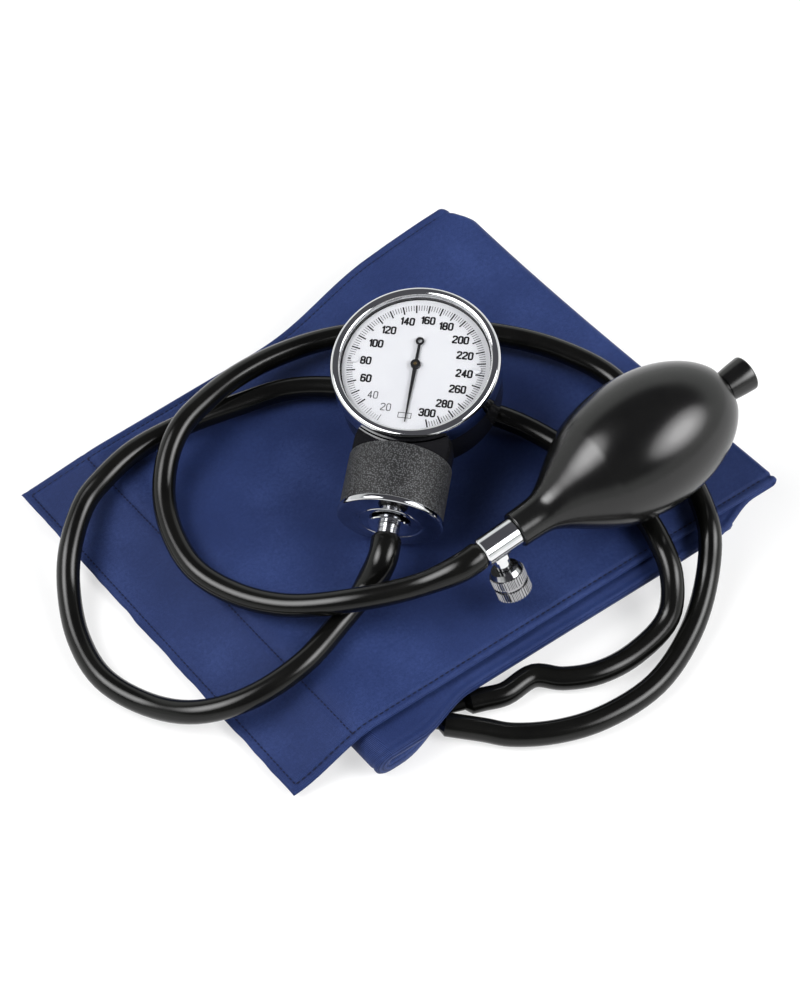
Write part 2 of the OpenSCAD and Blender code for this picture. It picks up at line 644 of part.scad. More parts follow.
module valve_body() {
  bulb_frame() color("silver") difference() {
    union() {
      about_x([[valve_from, 0], [valve_from, valve_r - 0.4], [valve_from + 0.4, valve_r],
        [neck_x - 0.4, valve_r], [neck_x, valve_r - 0.4], [neck_x, plug_r], [spigot_x, plug_r],
        [spigot_x, 0]]);
      knob_frame() cylinder(r = boss_r, h = valve_r + 0.5);
      knob_frame() cylinder(r = stem_r, h = stem_end);
    }
    along_x(valve_from - 1, duct_x_r, spigot_x + 3);
    along_x(stop_x, ball_r + ball_gap, spigot_x);
    along_x(seat_x, seat_r, spigot_x);
    knob_frame() {
      cylinder(r = needle_r + needle_gap, h = stem_end + 1);
      translate([0, 0, ring_at - 0.5]) cylinder(r = needle_r + 0.8, h = 1);
      // the vent that the needle opens
      translate([0, 0, valve_r + 1.1]) rotate([0, 90, 0]) cylinder(r = 0.35, h = 5, $fn = 24);
    }
  }
}

module outlet_seat() {
  from = seat_x + 0.02;
  rim = seat_r - 0.02;
  bulb_frame() color("silver") about_x([[from, 1], [from, rim], [spigot_x, rim], [spigot_x, 1]]);
}

module outlet_ball() {
  bulb_frame() color("silver") translate([stop_x + 0.1 + ball_r, 0, 0]) sphere(r = ball_r);
}

module release_needle() {
  cone = 1.2;
  grip = 6.2;
  bulb_frame() color("silver") knob_frame() {
    translate([0, 0, needle_tip]) cylinder(r1 = 0.3, r2 = needle_r, h = cone);
    translate([0, 0, needle_tip + cone]) cylinder(r = needle_r, h = knob_from + grip - needle_tip - cone);
  }
}

module release_knob() {
  knurls = 36;
  knurl_h = 0.35;
  knurl_l = 3.3;
  waist = knob_r - 0.6;
  band_low = knob_from + 1.8;
  band_high = knob_from + 6.4;
  bulb_frame() color("silver") knob_frame() difference() {
    union() {
      rotate_extrude() polygon([[0, knob_from], [knob_r - 1.2, knob_from], [waist, band_low - 0.2],
        [waist, knob_from + knob_l - 0.7], [waist - 0.6, knob_from + knob_l], [0, knob_from + knob_l]]);
      for (z = [band_low, band_high]) translate([0, 0, z]) linear_extrude(knurl_l)
        polygon(teeth(0, 360, knurls, knob_r - knurl_h, knob_r));
    }
    translate([0, 0, knob_from - 1]) cylinder(r = needle_r + 0.02, h = 7.4);
  }
}

module valve_o_ring() {
  bulb_frame() color("black") knob_frame() translate([0, 0, ring_at])
    rotate_extrude() translate([needle_r + 0.08 + ring_r, 0]) circle(r = ring_r, $fn = 24);
}

module inlet_insert() {
  rim = insert_r - 0.02;
  end = inlet_x - 0.4;
  stop = inlet_x - 3;
  cage_r = ball_r + ball_gap;
  bulb_frame() color("silver") about_x([[insert_x, cage_r], [insert_x, rim], [end, rim], [end, 1.1],
    [stop, 1.1], [stop, cage_r]]);
}

screen_t = 0.5;
module inlet_ball() {
  bulb_frame() color("silver") translate([insert_x + screen_t + 0.2 + ball_r, 0, 0]) sphere(r = ball_r);
}

module inlet_screen() {
  bulb_frame() color("silver") translate([insert_x, 0, 0]) rotate([0, 90, 0]) difference() {
    cylinder(r = ball_r + ball_gap - 0.02, h = screen_t);
    for (a = [0 : 60 : 300]) rotate([0, 0, a]) translate([1.1, 0, -1])
      cylinder(r = 0.35, h = screen_t + 2, $fn = 24);
  }
}

// ---- Hoses: routes of the two free stretches, each from its metal end to the bladder ----
nipple_at = gauge_at + turned([0, -nipple_end, neck_z], gauge_turn);
nipple_dir = turned([0, -1, 0], gauge_turn);
valve_at = bulb_point([valve_from, 0, 0]);
valve_dir = turned([-1, 0, 0], bulb_turn);
gauge_port = port_end(gauge_port_at, gauge_port_turn, gauge_port_reach);
bulb_port = port_end(bulb_port_at, bulb_port_turn, bulb_port_reach);
function ahead(p, d) = p + unit([d[0], d[1], len(d) > 2 ? d[2] : 0]) * hose_d;
gauge_route = [
  [-9, -49, 23], [-17, -59, 19.5], [-29, -75, 19.5], [-45, -85, 16], [-61, -87, 11],
  [-77, -81, 5], [-92, -71, 4], [-101, -56, 4], [-105, -40, 7], [-105, -28, 12],
  [-101, -12, 16], [-95, -4, 18.5], [-86, 6, 19.5], [-70, 17, 19.5], [-53, 25, 19.5],
  [-37, 31, 20], [-21, 31, 21], [7, 25, 22], [34, 19, 21], [51, 10, 19.5], [66, -4, 19.5],
  [78, -18, 19.5], [83, -28, 19.5], [87, -40, 16], [86, -51, 8], [75, -62, 4], [63, -69, 4],
  [52, -71, 4], [43, -70, 4]];
bulb_route = [
  [7, -55, 33], [-14, -58, 29], [-34, -56, 23], [-50, -50, 20], [-63, -41, 19.5],
  [-71, -28, 19.5], [-75, -13, 21], [-74, 0, 25], [-70, 10, 28], [-63, 20, 28], [-53, 32, 26],
  [-39, 43, 24], [-21, 51, 23], [7, 54, 24], [35, 52, 23], [55, 46, 22], [72, 36, 20],
  [85, 14, 19.5], [95, -5, 19.5], [100, -24, 18], [99, -38, 10], [93, -55, 5], [81, -73, 4],
  [64, -85, 4], [49, -90, 4], [35, -91, 4]];

// Sweeps a round tube along the points, with a ring at each point
module tube(points, r) {
  sides = 10;
  n = len(points);
  tangents = [for (i = [0 : n - 1]) unit(points[min(n - 1, i + 1)] - points[max(0, i - 1)])];
  function ring(p, d) = let (a = unit(cross(d, [0, 0, 1])), b = cross(a, d))
    [for (k = [0 : sides - 1]) p + r * (cos(360 * k / sides) * a + sin(360 * k / sides) * b)];
  pts = flatten([for (i = [0 : n - 1]) ring(points[i], tangents[i])]);
  faces = concat([[for (k = [sides - 1 : -1 : 0]) k]], [[for (k = [0 : sides - 1]) (n - 1) * sides + k]],
    flatten([for (i = [0 : n - 2]) for (k = [0 : sides - 1]) let (m = (k + 1) % sides)
      [[i * sides + k, (i + 1) * sides + m, (i + 1) * sides + k],
        [i * sides + k, i * sides + m, (i + 1) * sides + m]]]));
  polyhedron(pts, faces, convexity = 8);
}

module gauge_hose() {
  color([0.08, 0.08, 0.08]) tube(concat([nipple_at, ahead(nipple_at, nipple_dir)], gauge_route,
    [ahead(gauge_port, port_dir(gauge_port_turn)), gauge_port]), hose_d / 2);
}

module bulb_hose() {
  color([0.08, 0.08, 0.08]) tube(concat([valve_at, ahead(valve_at, valve_dir)], bulb_route,
    [ahead(bulb_port, port_dir(bulb_port_turn)), bulb_port]), hose_d / 2);
}

cuff_cover();
cuff_bladder();
hook_patch();
loop_patch();
gauge_hose();
bulb_hose();
gauge_case();
bezel();
lens();
lens_gasket();
dial_plate();
dial_screws();
pointer();
pinion_arbor();
hairspring();
movement_bottom_plate();
movement_top_plate();
plate_pillars();
plate_screws();
sector_gear();
push_rod();
pressure_capsule();
neck_sleeve();
base_cap();
gauge_nipple();
bulb();
valve_body();
outlet_ball();
outlet_seat();
release_needle();
release_knob();
valve_o_ring();
inlet_insert();
inlet_ball();
inlet_screen();
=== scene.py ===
"""Looks of the aneroid blood pressure set: camera, hoses, cloth cuff, rubber, chrome and dial print."""

import math

import bpy
import numpy as np
from mathutils import Euler, Matrix, Vector, noise


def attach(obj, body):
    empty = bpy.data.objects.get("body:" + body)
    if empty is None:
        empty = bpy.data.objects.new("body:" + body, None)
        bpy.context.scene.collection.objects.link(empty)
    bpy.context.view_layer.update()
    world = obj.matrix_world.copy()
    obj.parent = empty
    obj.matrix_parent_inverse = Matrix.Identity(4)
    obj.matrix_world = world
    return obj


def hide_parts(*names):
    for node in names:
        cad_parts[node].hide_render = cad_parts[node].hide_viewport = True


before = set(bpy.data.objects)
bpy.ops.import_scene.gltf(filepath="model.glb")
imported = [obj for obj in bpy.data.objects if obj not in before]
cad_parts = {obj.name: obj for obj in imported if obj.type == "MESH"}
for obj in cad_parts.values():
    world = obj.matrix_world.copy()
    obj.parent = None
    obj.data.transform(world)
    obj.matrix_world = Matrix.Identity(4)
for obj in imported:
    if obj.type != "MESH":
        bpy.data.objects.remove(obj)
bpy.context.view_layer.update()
MM = 0.001
ROOT = "set_body"

# ---------------------------------------------------------------- camera, as in the photograph
PITCH = 55.0  # degrees looking down
DISTANCE = 0.740
TARGET = Vector((0.001, 0.0, 0.0))
LENS = 80.0
SENSOR_H = 36.0  # millimetres along the picture's height


def make_camera():
    data = bpy.data.cameras.new("camera")
    data.sensor_fit = "VERTICAL"
    data.sensor_height = SENSOR_H
    data.lens = LENS
    data.clip_start = 0.01
    camera = bpy.data.objects.new("camera", data)
    bpy.context.scene.collection.objects.link(camera)
    pitch = math.radians(PITCH)
    forward = Vector((0.0, math.cos(pitch), -math.sin(pitch)))
    camera.location = TARGET - DISTANCE * forward
    camera.rotation_euler = (math.radians(90.0 - PITCH), 0.0, 0.0)
    bpy.context.scene.camera = camera


make_camera()


# ---------------------------------------------------------------- small helpers
def link(obj):
    bpy.context.scene.collection.objects.link(obj)
    return obj


def mesh_object(name, verts, faces, smooth=True):
    mesh = bpy.data.meshes.new(name)
    mesh.from_pydata([tuple(v) for v in verts], [], [tuple(f) for f in faces])
    mesh.update()
    if smooth:
        mesh.shade_smooth()
    return link(bpy.data.objects.new(name, mesh))


def smoothstep(a, b, x):
    t = np.clip((np.asarray(x, float) - a) / (b - a), 0.0, 1.0)
    return t * t * (3.0 - 2.0 * t)


def mix(a, b, t):
    return a + (b - a) * t


# ---------------------------------------------------------------- materials
def new_material(name, color, rough, metallic=0.0, specular=0.5):
    material = bpy.data.materials.new(name)
    material.use_nodes = True
    for socket, value in (("Base Color", (*color, 1.0)), ("Roughness", rough), ("Metallic", metallic),
            ("Specular IOR Level", specular)):
        shader_of(material).inputs[socket].default_value = value
    return material


def shader_of(material):
    return material.node_tree.nodes["Principled BSDF"]


def node(material, kind, **values):
    made = material.node_tree.nodes.new(kind)
    for key, value in values.items():
        if key in made.inputs:
            made.inputs[key].default_value = value
        else:
            setattr(made, key, value)
    return made


def wire(material, a, out, b, into):
    material.node_tree.links.new(a.outputs[out], b.inputs[into])


def combine(material, operation, a, b):
    """One number worked out from two outputs."""
    made = node(material, "ShaderNodeMath", operation=operation)
    material.node_tree.links.new(a, made.inputs[0])
    material.node_tree.links.new(b, made.inputs[1])
    return made.outputs["Value"]


def set_ramp(ramp, *stops):
    """Gives a colour ramp its two (position, colour) stops."""
    for element, (position, color) in zip(ramp.color_ramp.elements, stops):
        element.position = position
        element.color = (*color, 1.0)


def speckle(material, colors, scale):
    """Base colour that wanders between two colours with a noise of that scale (per metre)."""
    where = node(material, "ShaderNodeTexCoord")
    cloud = node(material, "ShaderNodeTexNoise", Scale=scale, Detail=4.0)
    ramp = node(material, "ShaderNodeValToRGB")
    set_ramp(ramp, (0.35, colors[0]), (0.65, colors[1]))
    wire(material, where, "Object", cloud, "Vector")
    wire(material, cloud, "Fac", ramp, "Fac")
    wire(material, ramp, "Color", shader_of(material), "Base Color")
    return material


def vary_roughness(material, low, high, scale):
    """Roughness that wanders between two values."""
    where = node(material, "ShaderNodeTexCoord")
    cloud = node(material, "ShaderNodeTexNoise", Scale=scale, Detail=3.0)
    spread = node(material, "ShaderNodeMapRange")
    spread.inputs["To Min"].default_value = low
    spread.inputs["To Max"].default_value = high
    wire(material, where, "Object", cloud, "Vector")
    wire(material, cloud, "Fac", spread, "Value")
    wire(material, spread, "Result", shader_of(material), "Roughness")
    return material


def bump(material, height, strength, distance):
    """Small relief from an output; distance in metres."""
    made = node(material, "ShaderNodeBump", Strength=strength, Distance=distance)
    material.node_tree.links.new(height, made.inputs["Height"])
    wire(material, made, "Normal", shader_of(material), "Normal")
    return material


def noise_bump(material, scale, strength, distance):
    where = node(material, "ShaderNodeTexCoord")
    cloud = node(material, "ShaderNodeTexNoise", Scale=scale, Detail=3.0)
    wire(material, where, "Object", cloud, "Vector")
    return bump(material, cloud.outputs["Fac"], strength, distance)


def rubber(name, low, high, rough, specular):
    material = new_material(name, low, rough, specular=specular)
    speckle(material, (low, high), scale=90.0)
    vary_roughness(material, rough - 0.03, rough + 0.04, scale=60.0)
    return noise_bump(material, scale=1800.0, strength=0.04, distance=0.0001)


def metal(name, low, high, rough):
    material = new_material(name, low, rough, metallic=1.0)
    speckle(material, (low, high), scale=120.0)
    return vary_roughness(material, rough * 0.6, rough * 1.5, scale=220.0)


def strip_texture(material, where, kind, **values):
    """A texture laid over the cloth strip, whose own coordinates are millimetres."""
    made = node(material, kind, **values)
    wire(material, where, "UV", made, "Vector")
    return made.outputs["Fac"]


def nylon(name, dark, light):
    """Navy nylon: a plain weave with flecks and worn patches."""
    material = new_material(name, dark, 0.6, specular=0.12)
    where = node(material, "ShaderNodeTexCoord")
    wave = {"Scale": 1.05, "Distortion": 1.0, "Detail": 2.0, "Detail Scale": 1.5}
    threads = [strip_texture(material, where, "ShaderNodeTexWave", bands_direction=direction, **wave)
        for direction in ("X", "Y")]
    weave = combine(material, "MULTIPLY", *threads)
    fleck = strip_texture(material, where, "ShaderNodeTexNoise", Scale=0.8, Detail=6.0, Roughness=0.9)
    cloud = strip_texture(material, where, "ShaderNodeTexNoise", Scale=0.03, Detail=4.0)
    grain = combine(material, "ADD", weave, fleck)
    tone = combine(material, "ADD", grain, cloud)
    spread = node(material, "ShaderNodeMapRange", **{"From Min": 1.03, "From Max": 1.47})
    material.node_tree.links.new(tone, spread.inputs["Value"])
    ramp = node(material, "ShaderNodeValToRGB")
    set_ramp(ramp, (0.0, dark), (1.0, light))
    wire(material, spread, "Result", ramp, "Fac")
    wire(material, ramp, "Color", shader_of(material), "Base Color")
    shader_of(material).inputs["Sheen Weight"].default_value = 0.06
    shader_of(material).inputs["Sheen Roughness"].default_value = 0.35
    shader_of(material).inputs["Sheen Tint"].default_value = (0.45, 0.55, 1.0, 1.0)
    return bump(material, grain, strength=0.35, distance=0.0002)


def sleeve_grain():
    """Dark grip with a fine leather grain."""
    material = new_material("sleeve_grain", (0.03, 0.03, 0.032), 0.55, specular=0.35)
    where = node(material, "ShaderNodeTexCoord")
    cells = node(material, "ShaderNodeTexVoronoi", Scale=2000.0)
    wire(material, where, "Object", cells, "Vector")
    ramp = node(material, "ShaderNodeValToRGB")
    set_ramp(ramp, (0.28, (0.075, 0.077, 0.082)), (0.5, (0.004, 0.004, 0.0045)))
    wire(material, cells, "Distance", ramp, "Fac")
    wire(material, ramp, "Color", shader_of(material), "Base Color")
    return bump(material, cells.outputs["Distance"], strength=0.45, distance=0.0002)


def paint(name, low, high, rough, specular=0.5, scale=300.0):
    """A plain coat whose colour wanders a little."""
    return speckle(new_material(name, low, rough, specular=specular), (low, high), scale)


def clear_lens():
    """Thin clear cover: almost all of it lets the dial through, the rest is gloss."""
    material = paint("lens_clear", (0.018, 0.018, 0.02), (0.024, 0.024, 0.026), 0.03, 0.8, 20.0)
    shader_of(material).inputs["Alpha"].default_value = 0.1
    return material


MATERIALS = {
    "rubber": rubber("rubber", (0.006, 0.006, 0.006), (0.011, 0.011, 0.01), 0.34, 0.5),
    "hose": rubber("hose_rubber", (0.0025, 0.0025, 0.0023), (0.0045, 0.0045, 0.004), 0.17, 0.3),
    "bulb": rubber("bulb_rubber", (0.003, 0.003, 0.003), (0.005, 0.005, 0.0048), 0.2, 0.46),
    "nylon": nylon("nylon", (0.006, 0.0135, 0.06), (0.03, 0.052, 0.165)),
    "patch": noise_bump(new_material("hook_tape", (0.012, 0.012, 0.016), 0.8), 900.0, 0.8, 0.0006),
    "case": vary_roughness(paint("case_lacquer", (0.004, 0.004, 0.005), (0.008, 0.008, 0.009), 0.12,
        scale=60.0), 0.08, 0.16, 80.0),
    "chrome": metal("chrome", (0.7, 0.71, 0.73), (0.78, 0.78, 0.79), 0.06),
    "cap_chrome": metal("cap_chrome", (0.5, 0.51, 0.53), (0.62, 0.62, 0.64), 0.07),
    "steel": metal("steel", (0.4, 0.4, 0.41), (0.5, 0.5, 0.51), 0.2),
    "knob_steel": metal("knob_steel", (0.34, 0.34, 0.35), (0.42, 0.42, 0.43), 0.1),
    "brass": metal("brass", (0.6, 0.42, 0.16), (0.75, 0.55, 0.24), 0.25),
    "dial": paint("dial_white", (0.78, 0.79, 0.83), (0.82, 0.83, 0.86), 0.4, 0.3, 40.0),
    "ink": paint("ink_black", (0.004, 0.004, 0.005), (0.01, 0.01, 0.011), 0.5, 0.3),
    "grey_ink": paint("ink_grey", (0.09, 0.09, 0.1), (0.14, 0.14, 0.145), 0.5, 0.3),
    "pointer": paint("pointer_paint", (0.004, 0.004, 0.005), (0.008, 0.008, 0.009), 0.35),
    "lens": clear_lens(),
    "sleeve": sleeve_grain(),
    # thread: dark navy thread, made darker than any of the cloth so the stitch rows also carry painted
    # shade for the grooves the seams pull in
    "thread": paint("thread", (0.003, 0.005, 0.022), (0.007, 0.011, 0.04), 0.7, 0.2, 2500.0),
}

NODE_MATERIALS = {
    "cuff_cover": "nylon", "cuff_bladder": "hose", "hook_patch": "patch", "loop_patch": "patch",
    "gauge_hose": "hose", "bulb_hose": "hose", "gauge_case": "case", "bezel": "chrome", "lens": "lens",
    "lens_gasket": "dial", "dial_plate": "dial", "dial_screws": "dial", "pointer": "pointer",
    "pinion_arbor": "brass", "hairspring": "brass", "movement_bottom_plate": "brass",
    "movement_top_plate": "brass", "plate_pillars": "brass", "plate_screws": "steel",
    "sector_gear": "brass", "push_rod": "steel", "pressure_capsule": "brass", "neck_sleeve": "sleeve",
    "base_cap": "cap_chrome", "gauge_nipple": "chrome", "bulb": "bulb", "valve_body": "chrome",
    "outlet_ball": "steel", "outlet_seat": "chrome", "release_needle": "knob_steel",
    "release_knob": "knob_steel", "valve_o_ring": "rubber", "inlet_insert": "chrome",
    "inlet_ball": "steel", "inlet_screen": "steel",
}
for name, key in NODE_MATERIALS.items():
    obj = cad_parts[name]
    obj.data.materials.clear()
    obj.data.materials.append(MATERIALS[key])

# ---------------------------------------------------------------- frames of the gauge and the bulb
GAUGE_AT = Vector((8.6, 22.55, 27.1032)) * MM
GAUGE_TURN = (10.5, -5.0, -11.0)
NIPPLE_END = 57.8  # from the drum's middle
NECK_Z = 15.0  # middle of the neck over the drum's back
BULB_AT = Vector((76.8, -10.8, 46.0)) * MM
BULB_TURN = (0.0, -6.5, 35.7)
BULB_X = 62.0  # widest place, along the axis
VALVE_FROM = -1.0  # where the hose ends on the valve's tail


def placed(at, turn):
    """Matrix of a place in metres and a turn in degrees."""
    return Matrix.Translation(at) @ Euler([math.radians(a) for a in turn], "XYZ").to_matrix().to_4x4()


GAUGE = placed(GAUGE_AT, GAUGE_TURN)
BULB = placed(BULB_AT, BULB_TURN) @ Matrix.Translation((-BULB_X * MM, 0.0, 0.0))

# ---------------------------------------------------------------- turned pieces, drawn finer than the CAD
TURNS = 160
SHARP = math.radians(32.0)


def turned_piece(name, place, profile, material, cad_node):
    """A solid of revolution from (along, radius) points in millimetres; "place" puts its axis +Z."""
    verts, faces = [], []
    rows = len(profile)
    for along, radius in profile:
        for i in range(TURNS):
            a = 2 * math.pi * i / TURNS
            verts.append(place @ (Vector((radius * math.cos(a), radius * math.sin(a), along)) * MM))
    for r in range(rows):
        for i in range(TURNS):
            j, s = (i + 1) % TURNS, (r + 1) % rows
            faces.append((r * TURNS + i, r * TURNS + j, s * TURNS + j, s * TURNS + i))
    obj = mesh_object(name, verts, faces)
    obj.data.set_sharp_from_angle(angle=SHARP)
    obj.data.materials.append(MATERIALS[material])
    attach(obj, ROOT)
    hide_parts(cad_node)
    return obj


def arc(x, y, r, start, end, steps=10, ry=None):
    """Points of an arc round (x, y), in degrees; "ry" makes it an oval."""
    ry = r if ry is None else ry
    return [(x + r * math.cos(math.radians(a)), y + ry * math.sin(math.radians(a)))
        for a in np.linspace(start, end, steps)]


def swap(points):
    return [(b, a) for a, b in points]


BEZEL_R = 27.5
BEZEL_IN = 26.65
BEZEL_Z = 16.5
BEZEL_H = 8.2
BEZEL_FOOT = 0.3
LIP_H = 7.4
LIP_W = 3.05
CREST_AT = BEZEL_R - 1.4  # radius of the ring's highest line
CREST_OUT = (1.4, 1.8)  # width and drop from there outward
CREST_IN = (1.65, 0.75)  # and inward
turned_piece("bezel_ring", GAUGE @ Matrix.Translation((0, 0, BEZEL_Z * MM)),
    swap([(BEZEL_IN, 0.0), (BEZEL_R - BEZEL_FOOT, 0.0)]
        + arc(BEZEL_R - BEZEL_FOOT, BEZEL_FOOT, BEZEL_FOOT, -60, 0, 4)
        + arc(CREST_AT, BEZEL_H - CREST_OUT[1], CREST_OUT[0], 0, 90, 16, CREST_OUT[1])
        + arc(CREST_AT, BEZEL_H - CREST_IN[1], CREST_IN[0], 90, 172, 14, CREST_IN[1])[1:]
        + [(BEZEL_R - LIP_W, LIP_H), (BEZEL_IN, LIP_H)]),
    "chrome", "bezel")

# along the neck, from the drum's middle outward
NECK = GAUGE @ Matrix.Translation((0, 0, NECK_Z * MM)) @ Matrix.Rotation(math.radians(90.0), 4, "X")
SLEEVE_R = 16.5
SLEEVE_IN = SLEEVE_R - 1.2
SLEEVE_ROUND = 0.3
SHOULDER_END = 32.5
SPIGOT_END = 51.0
CAP_END = 53.0
CAP_R = 17.0
CAP_FOOT = 0.4
CAP_ROUND = 0.9
CAP_GROOVE = [(0.0, 10.6), (0.12, 10.5), (0.3, 10.2), (0.3, 9.9), (0.12, 9.6), (0.0, 9.5)]  # depth, radius
DUCT_R = 1.2
turned_piece("grip_sleeve", NECK, [(SHOULDER_END, SLEEVE_IN), (SHOULDER_END, SLEEVE_R - SLEEVE_ROUND)]
    + arc(SHOULDER_END + SLEEVE_ROUND, SLEEVE_R - SLEEVE_ROUND, SLEEVE_ROUND, 150, 90, 4)
    + arc(SPIGOT_END - SLEEVE_ROUND, SLEEVE_R - SLEEVE_ROUND, SLEEVE_ROUND, 90, 30, 4)
    + [(SPIGOT_END, SLEEVE_R - SLEEVE_ROUND), (SPIGOT_END, SLEEVE_IN)], "sleeve", "neck_sleeve")
turned_piece("chrome_cap", NECK, [(SPIGOT_END, DUCT_R), (SPIGOT_END, CAP_R - CAP_FOOT)]
    + arc(SPIGOT_END + CAP_FOOT, CAP_R - CAP_FOOT, CAP_FOOT, 150, 90, 5)
    + arc(CAP_END - CAP_ROUND, CAP_R - CAP_ROUND, CAP_ROUND, 90, 10, 10)
    + [(CAP_END, CAP_R - 1.1)] + [(CAP_END - depth, r) for depth, r in CAP_GROOVE] + [(CAP_END, DUCT_R)],
    "cap_chrome", "base_cap")

# along the bulb, from the valve's hose end to the inlet
BULB_AXIS = BULB @ Matrix.Rotation(math.radians(90.0), 4, "Y")
BULB_R = 22.1
BULB_LEFT = 36.0  # half length of the oval towards the valve
BULB_RIGHT = 34.5
BULB_FROM = 12.0
BULB_WALL_IN = 3.45  # where the inside meets the valve's tail
NECK_R = 5.4
NECK_ROUND = 0.5
NECK_LINE = [(12.4, 5.9), (16.0, 6.0), (20.0, 6.2), (22.8, 6.7), (25.2, 7.85), (27.6, 9.35), (31.0, 11.7),
    (34.5, 14.05), (38.5, 16.45)]
WAIST_X = 94.0
WAIST_R = 4.7
WAIST_LINE = [(93.3, 7.6), (WAIST_X + 0.1, WAIST_R + 0.7), (WAIST_X + 0.7, WAIST_R)]
COLLAR_R = 5.9
COLLAR_ROUND = 0.6
INLET_X = 104.6
COLLAR_LINE = [(WAIST_X + 1.1, WAIST_R), (WAIST_X + 1.4, COLLAR_R - 0.85), (97.0, COLLAR_R - 0.65),
    (100.0, COLLAR_R - 0.3), (INLET_X - 1.0, COLLAR_R)]
INLET_BORE = [(INLET_X, 3.4), (90.0, 3.4), (50.0, BULB_WALL_IN)]


def smooth_profile(points, steps=6):
    """A fine curve through (along, radius) points."""
    line = spline([Vector((x, r, 0.0)) for x, r in points], steps)
    return [(p.x, p.y) for p in line]


def make_bulb():
    left = arc(BULB_X, 0.0, BULB_LEFT, 122, 90, 18, BULB_R)
    neck = smooth_profile(NECK_LINE + left[:1])
    right = arc(BULB_X, 0.0, BULB_RIGHT, 90, 26, 28, BULB_R)[1:]
    waist = smooth_profile(right[-1:] + WAIST_LINE, 5)
    profile = ([(BULB_FROM, BULB_WALL_IN), (BULB_FROM, NECK_R)]
        + arc(BULB_FROM + NECK_ROUND, NECK_R, NECK_ROUND, 170, 100, 5) + neck[:-1] + left + right[:-1]
        + waist + COLLAR_LINE
        + arc(INLET_X - COLLAR_ROUND, COLLAR_R - COLLAR_ROUND, COLLAR_ROUND, 75, 0, 6) + INLET_BORE)
    return turned_piece("rubber_bulb", BULB_AXIS, profile, "bulb", "bulb")


# ---------------------------------------------------------------- hoses
HOSE_D = 7.6
END_BLUNT = (0.16, 1.2)  # share that the hose's rim is drawn in, over this many millimetres
CORNER_FRONT = np.array((-31.2, -111.5))
CORNER_RIGHT = np.array((125.2, -0.6))
EDGE = (CORNER_RIGHT - CORNER_FRONT) / np.linalg.norm(CORNER_RIGHT - CORNER_FRONT)
EDGE_OUT = np.array((EDGE[1], -EDGE[0]))
PORT_Z = 3.9
GAUGE_ROUTE = [
    (-9, -49, 23), (-17, -59, 19.5), (-29, -75, 19.5), (-45, -85, 16), (-61, -87, 11), (-77, -81, 5),
    (-92, -71, 4), (-101, -56, 4), (-105, -40, 7), (-105, -28, 12), (-101, -12, 16), (-95, -4, 18.5),
    (-86, 6, 19.5), (-70, 17, 19.5), (-53, 25, 19.5), (-37, 31, 20), (-21, 31, 21), (7, 25, 22),
    (34, 19, 21), (51, 10, 19.5), (66, -4, 19.5), (78, -18, 19.5), (83, -28, 19.5), (87, -40, 16),
    (86, -51, 8), (75, -62, 4), (63, -69, 4), (52, -71, 4), (43, -70, 4),
]
BULB_ROUTE = [
    (7, -55, 33), (-14, -58, 29), (-34, -56, 23), (-50, -50, 20), (-63, -41, 19.5), (-71, -28, 19.5),
    (-75, -13, 21), (-74, 0, 25), (-70, 10, 28), (-63, 20, 28), (-53, 32, 26), (-39, 43, 24),
    (-21, 51, 23), (7, 54, 24), (35, 52, 23), (55, 46, 22), (72, 36, 20), (85, 14, 19.5),
    (95, -5, 19.5), (100, -24, 18), (99, -38, 10), (93, -55, 5), (81, -73, 4), (64, -85, 4),
    (49, -90, 4), (35, -91, 4),
]


def port(q, d, turn, reach):
    """End of a bladder stub and its direction, q along and d out from the cuff's front edge."""
    angle = math.radians(turn)
    way = EDGE * math.cos(angle) + EDGE_OUT * math.sin(angle)
    at = CORNER_FRONT + EDGE * q + EDGE_OUT * d + way * reach
    return Vector((at[0], at[1], PORT_Z)), Vector((way[0], way[1], 0.0))


def hose_points(start, start_way, route, end, end_way):
    """The route with a straight piece as long as the hose is thick at each end."""
    points = [start, start + start_way * HOSE_D]
    points += [Vector(p) for p in route]
    return points + [end + end_way * HOSE_D, end]


def spline(points, steps=6):
    """Points of a centripetal curve through the given points, in millimetres."""
    given = [2 * points[0] - points[1], *points, 2 * points[-1] - points[-2]]
    out = []
    for a, b, c, d in zip(given, given[1:], given[2:], given[3:]):
        ta = 0.0
        tb = ta + (b - a).length ** 0.5
        tc = tb + (c - b).length ** 0.5
        td = tc + (d - c).length ** 0.5
        for i in range(steps):
            t = mix(tb, tc, i / steps)
            ab = a * ((tb - t) / (tb - ta)) + b * ((t - ta) / (tb - ta))
            bc = b * ((tc - t) / (tc - tb)) + c * ((t - tb) / (tc - tb))
            cd = c * ((td - t) / (td - tc)) + d * ((t - tc) / (td - tc))
            abc = ab * ((tc - t) / (tc - ta)) + bc * ((t - ta) / (tc - ta))
            bcd = bc * ((td - t) / (td - tb)) + cd * ((t - tb) / (td - tb))
            out.append(abc * ((tc - t) / (tc - tb)) + bcd * ((t - tb) / (tc - tb)))
    return out + [points[-1]]


def make_hose(name, points, cad_node, flare, taper):
    """The hose as a round curve; its end is wider by the share "flare" and narrows along "taper"."""
    line = spline(points)
    data = bpy.data.curves.new(name, "CURVE")
    data.dimensions = "3D"
    data.bevel_depth = HOSE_D / 2 * MM
    data.bevel_resolution = 10
    data.use_fill_caps = True
    made = data.splines.new("POLY")
    made.points.add(len(line) - 1)
    run = 0.0
    for i, p in enumerate(line):
        run += (p - line[i - 1]).length if i else 0.0
        made.points[i].co = (*(p * MM), 1.0)
        blunt = 1.0 - END_BLUNT[0] * max(0.0, 1.0 - run / END_BLUNT[1]) ** 2
        made.points[i].radius = blunt * (1.0 + flare * (1.0 - float(smoothstep(*taper, run))))
    obj = link(bpy.data.objects.new(name, data))
    data.materials.append(MATERIALS["hose"])
    for s in data.splines:
        s.use_smooth = True
    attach(obj, ROOT)
    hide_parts(cad_node)
    return obj


